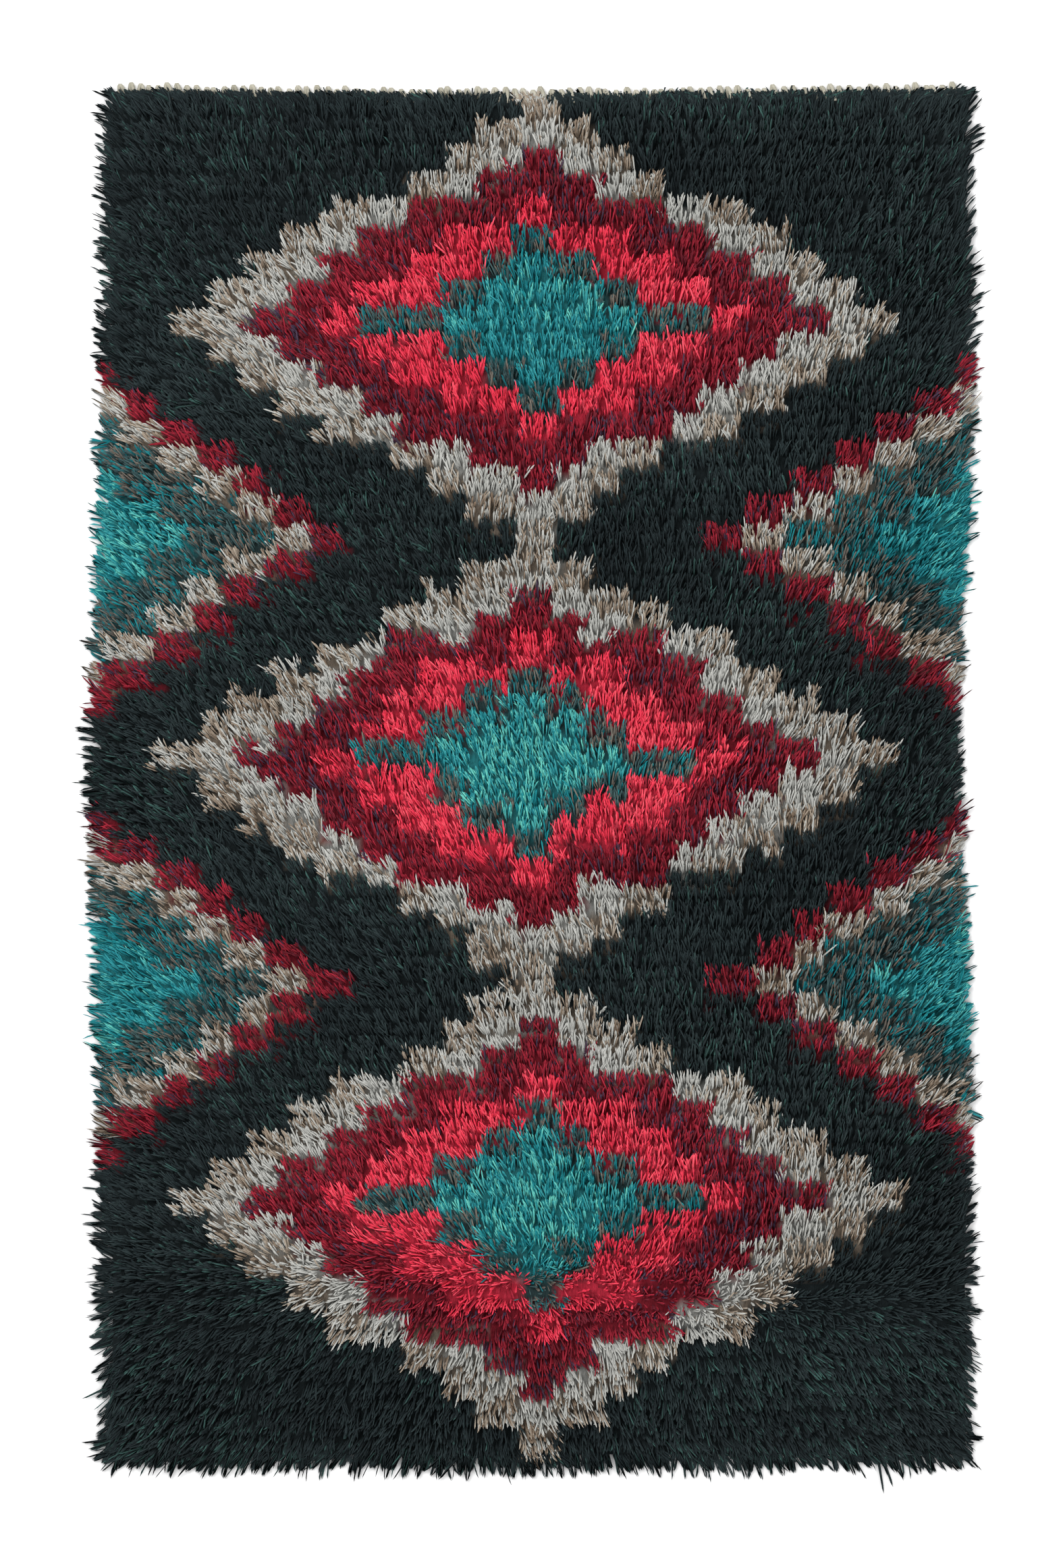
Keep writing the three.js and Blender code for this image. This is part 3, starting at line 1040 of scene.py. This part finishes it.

# %% [markdown]
# ## The depth of the pile
# Between the tips one looks into the pile, at yarn in the shadow of the tips and never at the
# cloth. That depth is a soft lumpy layer at a little under half the pile's height, in the
# colours of the knots under a painted shade that makes it much darker than the tips: a grid on
# top, a wall around it and one large face underneath. It costs little, and it saves tens of
# thousands of strands.

# %% Depth layer
DEPTH = {
    "past": 4.2,
    "upper_margin": 5.5,
    "share": 0.45,
    "lumps": 1.3,
    "above_cloth": 0.3,
    "cells": (72, 112),
}
DEEP_WOOL = {
    "stretch": (520.0, 130.0, 300.0),
    # the share of black in the depth's painted shade, less where paler fibres show
    "painted_shade": 0.81,
    "paler_fibres": 0.50,
    "relief": 0.003,
    "relief_strength": 1.0,
    "roughness": 0.85,
    "fibre_roughness": 0.1,
    "gloss": 0.1,
}


def grid_faces(across, along):
    """The faces of a grid with so many cells, and the points of its rim in their order."""
    index = np.arange((along + 1) * (across + 1)).reshape(along + 1, across + 1)
    a, b, c, d = index[:-1, :-1], index[:-1, 1:], index[1:, 1:], index[1:, :-1]
    rim = np.concatenate([index[0, :-1], index[:-1, -1], index[-1, :0:-1], index[:0:-1, 0]])
    return np.stack([a, b, c, d], axis=-1).reshape(-1, 4), rim


def knot_colours(u, v):
    """The colour of the main lot at each place, with a fourth number for opacity."""
    table = np.ones((len(AREAS), 4))
    for index, name in enumerate(AREAS):
        main = max(MIXTURES[name], key=MIXTURES[name].get)
        table[index, :3] = from_screen(DYES[main][1])
    return table[area_of(u.ravel(), v.ravel())]


def depth_mesh():
    """The lumpy layer, its wall and the face underneath."""
    across, along = DEPTH["cells"]
    side, low = HALF_U + DEPTH["past"], -HALF_V - DEPTH["past"]
    high = HALF_V - DEPTH["upper_margin"]
    u, v = np.meshgrid(np.linspace(-side, side, across + 1), np.linspace(low, high, along + 1))
    x, y = lay(u, v)
    height = pile_height(u, v) * DEPTH["share"] + DEPTH["lumps"] * lumps(u, v, "depth")
    top = np.stack([x, y, height], axis=-1).reshape(-1, 3)
    upper, rim = grid_faces(across, along)
    under = top[rim] * [1, 1, 0] + [0, 0, CLOTH_THICK + DEPTH["above_cloth"]]
    low_rim = len(top) + np.arange(len(rim))
    wall = np.stack([low_rim, np.roll(low_rim, -1), np.roll(rim, -1), rim], axis=-1)
    corners = np.concatenate([upper.ravel(), wall.ravel(), low_rim[::-1]])
    sizes = np.concatenate([np.full(len(upper) + len(wall), 4), [len(rim)]])
    mesh = mesh_from_arrays("pile_depth", np.concatenate([top, under]), corners, sizes)
    colours = knot_colours(u, v)
    rgba = np.concatenate([colours, colours[rim]])
    add_values(mesh, "knots", "FLOAT_COLOR", "POINT", "color", rgba)
    return mesh


def depth_material():
    """Wool in painted shade: the colours of the knots, darkened unevenly towards black."""
    material, wires = new_material("pile_depth")
    place = wires.node("ShaderNodeTexCoord", output="Object")
    stretched = wires.node("ShaderNodeMapping", Vector=place, Scale=DEEP_WOOL["stretch"])
    fibres = wires.node("ShaderNodeTexNoise", Vector=stretched, Scale=1.0, Detail=3.0)
    knots = wires.node("ShaderNodeAttribute", {"attribute_name": "knots"}, output="Color")
    # painted shade: the knots' colours are mixed most of the way to black, less where the fibres are
    # paler
    painted_shade_share = (DEEP_WOOL["painted_shade"] - fibres * DEEP_WOOL["paler_fibres"]).limited()
    colour = painted_shade_share.mixed(knots, BLACK)
    roughness = DEEP_WOOL["roughness"] + fibres * DEEP_WOOL["fibre_roughness"]
    fixed = {"Specular IOR Level": DEEP_WOOL["gloss"]}
    finish_material(wires, colour, roughness, fibres.raised(DEEP_WOOL), fixed)
    return material


depth = add_piece("pile_depth", depth_mesh(), depth_material(), "ink_yarn", *STANDS_FOR)

# %% [markdown]
# ## The cloth
# Under the pile is a firm weft-faced weave. It is a flat closed sheet: a grid above, the same
# grid below with its faces turned over, and a wall round the edge. A loose wave of a fraction
# of a millimetre keeps its upper side from looking machined, while its underside stays flat on
# the floor. Each row of knots shows on its back as short dashes of the pile's own colours, so
# the points also carry the colour of the nearest knots.

# %% Cloth mesh
CLOTH = {"cells": (44, 72), "wave": 0.22}


def cloth_mesh():
    """The cloth as a closed sheet."""
    across, along = CLOTH["cells"]
    at_u = np.linspace(-HALF_U, HALF_U, across + 1)
    at_v = np.linspace(-HALF_V, HALF_V, along + 1)
    u, v = np.meshgrid(at_u, at_v)
    x, y = lay(u, v)
    wave = CLOTH["wave"] * lumps(u, v, "cloth") - CLOTH["wave"]
    top = np.stack([x, y, CLOTH_THICK + wave], axis=-1).reshape(-1, 3)
    bottom = np.stack([x, y, np.zeros(x.shape)], axis=-1).reshape(-1, 3)
    n = len(top)
    upper, rim = grid_faces(across, along)
    lower = upper[:, ::-1] + n
    after = np.roll(rim, -1)
    wall = np.stack([rim + n, after + n, after, rim], axis=-1)
    faces = np.concatenate([upper, lower, wall])
    points, sizes = np.concatenate([top, bottom]), np.full(len(faces), 4)
    mesh = mesh_from_arrays("cloth", points, faces.ravel(), sizes, smooth=False)
    add_values(mesh, "knots", "FLOAT_COLOR", "POINT", "color", np.tile(knot_colours(u, v), (2, 1)))
    return mesh


# %% [markdown]
# The weave is drawn by two sines at right angles, a coarse one for the warp and a fine one for
# the weft, whose product is the over and under of a plain weave. The yarn's own tone drifts
# from pick to pick. The dashes of the knots are where a band along every row meets a band at
# every knot's place across.

# %% The weave's material
WEAVE = {
    "pick": 3.45,
    "tone_across": 9.0,
    "tone_along": 260.0,
    "fuzz": 900.0,
    "picks_share": 0.75,
    "fuzz_share": 0.25,
    "weave_share": 0.08,
    "row_from": 0.72,
    "row_sharp": 6.0,
    "pair_at": 0.7,
    "pair_from": 0.25,
    "pair_sharp": 4.0,
    "dash": 0.8,
    "weave_height": 0.6,
    "fuzz_height": 0.5,
    "dash_height": 0.8,
    "relief": 0.0008,
    "relief_strength": 0.8,
    "roughness": 0.80,
    "fuzz_roughness": 0.15,
}
PALE_GLOSS = {"Specular IOR Level": 0.2, "Sheen Weight": 0.1, "Sheen Roughness": 0.5}


def weave_material():
    """The plain weave of the cloth with the dashes of its knots."""
    material, wires = new_material("woven_wool")
    place = wires.node("ShaderNodeTexCoord", output="Object")
    split = wires.node("ShaderNodeSeparateXYZ", Vector=place)
    x, y = (Wire(wires.tree, out) for out in list(split.socket.node.outputs)[:2])
    warp_turn = x * (2 * math.pi / (KNOT["across"] * MM))
    weft = (y * (2 * math.pi / (WEAVE["pick"] * MM))).sine()
    weave = warp_turn.sine() * weft
    picks_at = wires.node(
        "ShaderNodeCombineXYZ", X=x * WEAVE["tone_across"], Y=y * WEAVE["tone_along"], Z=0.0
    )
    picks = wires.node("ShaderNodeTexNoise", Vector=picks_at, Scale=1.0, Detail=2.0)
    fuzz = wires.node("ShaderNodeTexNoise", Vector=place, Scale=WEAVE["fuzz"], Detail=2.0)
    stops = [
        (0.25, from_screen((150, 142, 122))),
        (0.50, from_screen((190, 183, 163))),
        (0.80, from_screen((212, 207, 189))),
    ]
    tone = picks * WEAVE["picks_share"] + fuzz * WEAVE["fuzz_share"] + weave * WEAVE["weave_share"]
    wool = wires.node("ShaderNodeValToRGB", {"stops": stops}, Fac=tone.limited())
    row = (y * (2 * math.pi / (KNOT["along"] * MM))).sine() - WEAVE["row_from"]
    pair = (warp_turn + WEAVE["pair_at"]).sine() + WEAVE["pair_from"]
    dash = (row * WEAVE["row_sharp"]).limited() * (pair * WEAVE["pair_sharp"]).limited()
    dash = dash * WEAVE["dash"]
    knots = wires.node("ShaderNodeAttribute", {"attribute_name": "knots"}, output="Color")
    colour = dash.mixed(wool, knots)
    height = weave * WEAVE["weave_height"] + fuzz * WEAVE["fuzz_height"]
    height = height + dash * WEAVE["dash_height"]
    roughness = WEAVE["roughness"] + fuzz * WEAVE["fuzz_roughness"]
    finish_material(wires, colour, roughness, height.raised(WEAVE), PALE_GLOSS)
    return material


cloth = add_piece("cloth", cloth_mesh(), weave_material(), "woven_wool", "woven_cloth")

# %% [markdown]
# ## The looped warp end
# At the upper end the warp has been turned back, and each pair of warps leaves a small loop
# that leans to the left. A loop is a short arch of yarn: a round section carried along twelve
# stations from the cloth, over and back. One leg crosses over the other at its foot, and every
# loop is a little uneven in its place, its reach, its width, its lean and its yarn.

# %% Warp loops
LOOP = {
    "pitch": 9.54,
    "reach": 8.2,
    "back": 7.0,
    "half": 2.6,
    "lean": -2.0,
    "yarn": 2.1,
    "flatness": 0.9,
    "above_cloth": 0.6,
    "crossing": 1.1,
    "stations": 12,
    "sides": 6,
}
LOOP_UNEVEN = {
    # the place in millimetres, and the others as shares of their values
    "place": (-0.9, 0.9),
    "reach": (0.60, 1.20),
    "half": (0.80, 1.15),
    "lean": (0.3, 1.9),
    "yarn": (0.92, 1.06),
}


def loop_path(right):
    """The centre line of a loop, from its right leg over to its left one."""
    right = right + rng.uniform(*LOOP_UNEVEN["place"])
    reach, half, lean = (
        LOOP[key] * rng.uniform(*LOOP_UNEVEN[key]) for key in ("reach", "half", "lean")
    )
    turn = np.linspace(0, math.pi, LOOP["stations"])
    out = np.sin(turn) * (reach + LOOP["back"]) - LOOP["back"]
    u = right + half * np.cos(turn) + lean * np.sin(turn)
    x, y = lay(u, HALF_V - LOOP["yarn"] + out)
    z = CLOTH_THICK + LOOP["above_cloth"] + LOOP["crossing"] * np.cos(turn)
    return np.stack([x, y, z], axis=1)


def tube_points(path):
    """Rings of points round the stations of a path."""
    along = unit(np.gradient(path, axis=0))
    aside = unit(np.cross(along, [0, 0, 1.0]))
    above = np.cross(aside, along)
    points = []
    for s in range(len(path)):
        radius = LOOP["yarn"] * rng.uniform(*LOOP_UNEVEN["yarn"])
        for angle in np.arange(LOOP["sides"]) / LOOP["sides"] * 2 * math.pi:
            sideways = math.cos(angle) * aside[s] * radius
            upwards = math.sin(angle) * above[s] * radius * LOOP["flatness"]
            points.append(path[s] + (sideways + upwards))
    return points


def tube_faces(first):
    """The faces of a tube, closed at both ends, from the number of its first point."""
    sides = LOOP["sides"]
    last = first + (LOOP["stations"] - 1) * sides
    faces = []
    for ring in range(first, last, sides):
        for q in range(sides):
            a, b = ring + q, ring + (q + 1) % sides
            faces.append([a, a + sides, b + sides, b])
    faces.append([first + q for q in range(sides)])
    faces.append([last + q for q in reversed(range(sides))])
    return faces


def loops_mesh():
    """All the loops as one mesh, from right to left."""
    count = int(2 * HALF_U / LOOP["pitch"])
    first = count * LOOP["pitch"] / 2
    points, faces = [], []
    for k in range(count):
        faces += tube_faces(len(points))
        points += tube_points(loop_path(first - (k + 0.5) * LOOP["pitch"]))
    sizes = np.array([len(face) for face in faces])
    print(f"{count} loops")
    return mesh_from_arrays("warp_loops", np.array(points), np.concatenate(faces), sizes)


LOOP_WOOL = {
    "stretch": (700.0, 240.0, 700.0),
    "patches": 38.0,
    "fibre_share": 0.55,
    "patch_share": 0.5,
    "relief": 0.0006,
    "relief_strength": 0.7,
    "roughness": 0.78,
    "fibre_roughness": 0.15,
}


def loop_material():
    """Cream wool, a little patchy."""
    material, wires = new_material("cream_loop_yarn")
    place = wires.node("ShaderNodeTexCoord", output="Object")
    stretched = wires.node("ShaderNodeMapping", Vector=place, Scale=LOOP_WOOL["stretch"])
    fibres = wires.node("ShaderNodeTexNoise", Vector=stretched, Scale=1.0, Detail=3.0)
    scale = LOOP_WOOL["patches"]
    patches = wires.node("ShaderNodeTexNoise", Vector=place, Scale=scale, Detail=1.0)
    stops = [
        (0.25, from_screen((129, 126, 111))),
        (0.55, from_screen((173, 169, 153))),
        (0.85, from_screen((198, 194, 181))),
    ]
    tone = fibres * LOOP_WOOL["fibre_share"] + patches * LOOP_WOOL["patch_share"]
    wool = wires.node("ShaderNodeValToRGB", {"stops": stops}, Fac=tone.limited())
    roughness = LOOP_WOOL["roughness"] + fibres * LOOP_WOOL["fibre_roughness"]
    finish_material(wires, wool, roughness, fibres.raised(LOOP_WOOL), PALE_GLOSS)
    return material


loops = add_piece("warp_loops", loops_mesh(), loop_material(), "woven_wool")
print("the cloth and its loops are in place")

# %% [markdown]
# ## The floor and the light
# The rug is shown on a plain pale floor, so bright that it goes white. A broad light from
# above and to the left gives the strands their small shadows, and the pale sky and a weaker
# light from the other side fill them.

# %% Floor, world and lights
FLOOR = {
    "half": 9.0,
    "below": 0.0002,
    "colour": (0.93, 0.93, 0.93, 1.0),
    "grain_colour": (0.88, 0.88, 0.87, 1.0),
    "grain": 6.0,
    "grain_share": 0.05,
    "relief": 0.001,
    "relief_strength": 0.02,
    "roughness": 0.8,
}
SKY = 0.80

half, low = FLOOR["half"], -FLOOR["below"]
floor_points = [(-half, -half, low), (half, -half, low), (half, half, low), (-half, half, low)]
floor_mesh = bpy.data.meshes.new("floor")
floor_mesh.from_pydata(floor_points, [], [(0, 1, 2, 3)])
floor = bpy.data.objects.new("floor", floor_mesh)
bpy.context.collection.objects.link(floor)
floor_material, wires = new_material("pale_floor")
grain = wires.node("ShaderNodeTexNoise", Scale=FLOOR["grain"], Detail=2.0)
grains = grain * FLOOR["grain_share"]
floor_colour = grains.mixed(FLOOR["colour"], FLOOR["grain_colour"])
finish_material(wires, floor_colour, FLOOR["roughness"] + grains, grain.raised(FLOOR), {})
floor_mesh.materials.append(floor_material)

world = bpy.data.worlds.new("pale_sky")
bpy.context.scene.world = world
world.use_nodes = True
sky = world.node_tree.nodes["Background"].inputs
sky["Color"].default_value = (1.0, 1.0, 1.0, 1.0)
sky["Strength"].default_value = SKY


def area_light(name, place, size, power):
    """A square light that faces the middle of the rug."""
    data = bpy.data.lights.new(name, "AREA")
    data.size = size
    data.energy = power
    light = bpy.data.objects.new(name, data)
    light.location = place
    direction = -light.location
    light.rotation_euler = direction.to_track_quat("-Z", "Y").to_euler()
    bpy.context.collection.objects.link(light)


area_light("key_light", place=(-1.8, 2.0, 3.6), size=2.6, power=120)
area_light("fill_light", place=(2.4, -1.6, 3.0), size=2.6, power=40)

# %% [markdown]
# ## The camera
# The photograph looks straight down from far away, so its lines hardly converge. A long lens
# six metres up does the same. The frame is 1575 by 2324 pixels, and a pixel is 0.69 mm on the
# rug, which gives the lens from the height.

# %% Camera
IMAGE = {"high": 2324, "pixel": 0.69}
DISTANCE = 6.0
CAMERA_Y = -0.0037
SENSOR = 24.0
FARTHEST = 50.0

camera_data = bpy.data.cameras.new("camera")
camera_data.sensor_fit = "VERTICAL"
camera_data.sensor_height = SENSOR
camera_data.lens = SENSOR * DISTANCE / (IMAGE["high"] * IMAGE["pixel"] * MM)
camera_data.clip_end = FARTHEST
camera = bpy.data.objects.new("camera", camera_data)
camera.location = (0.0, CAMERA_Y, DISTANCE)
bpy.context.collection.objects.link(camera)
bpy.context.scene.camera = camera
bpy.context.scene.view_settings.view_transform = "Standard"
print(f"lens {camera_data.lens:.0f} mm")

# %% [markdown]
# ## Finish
# The dressed rug should hardly outgrow its solid model: only its few stray yarns and the
# longest strands of its rim pass it. The triangles of all its pieces are counted.

# %% Finish
pieces = [*pile_pieces, depth, cloth, loops]
triangles = sum(len(piece.data.loops) - 2 * len(piece.data.polygons) for piece in pieces)
print(f"{triangles} triangles in {len(pieces)} pieces")
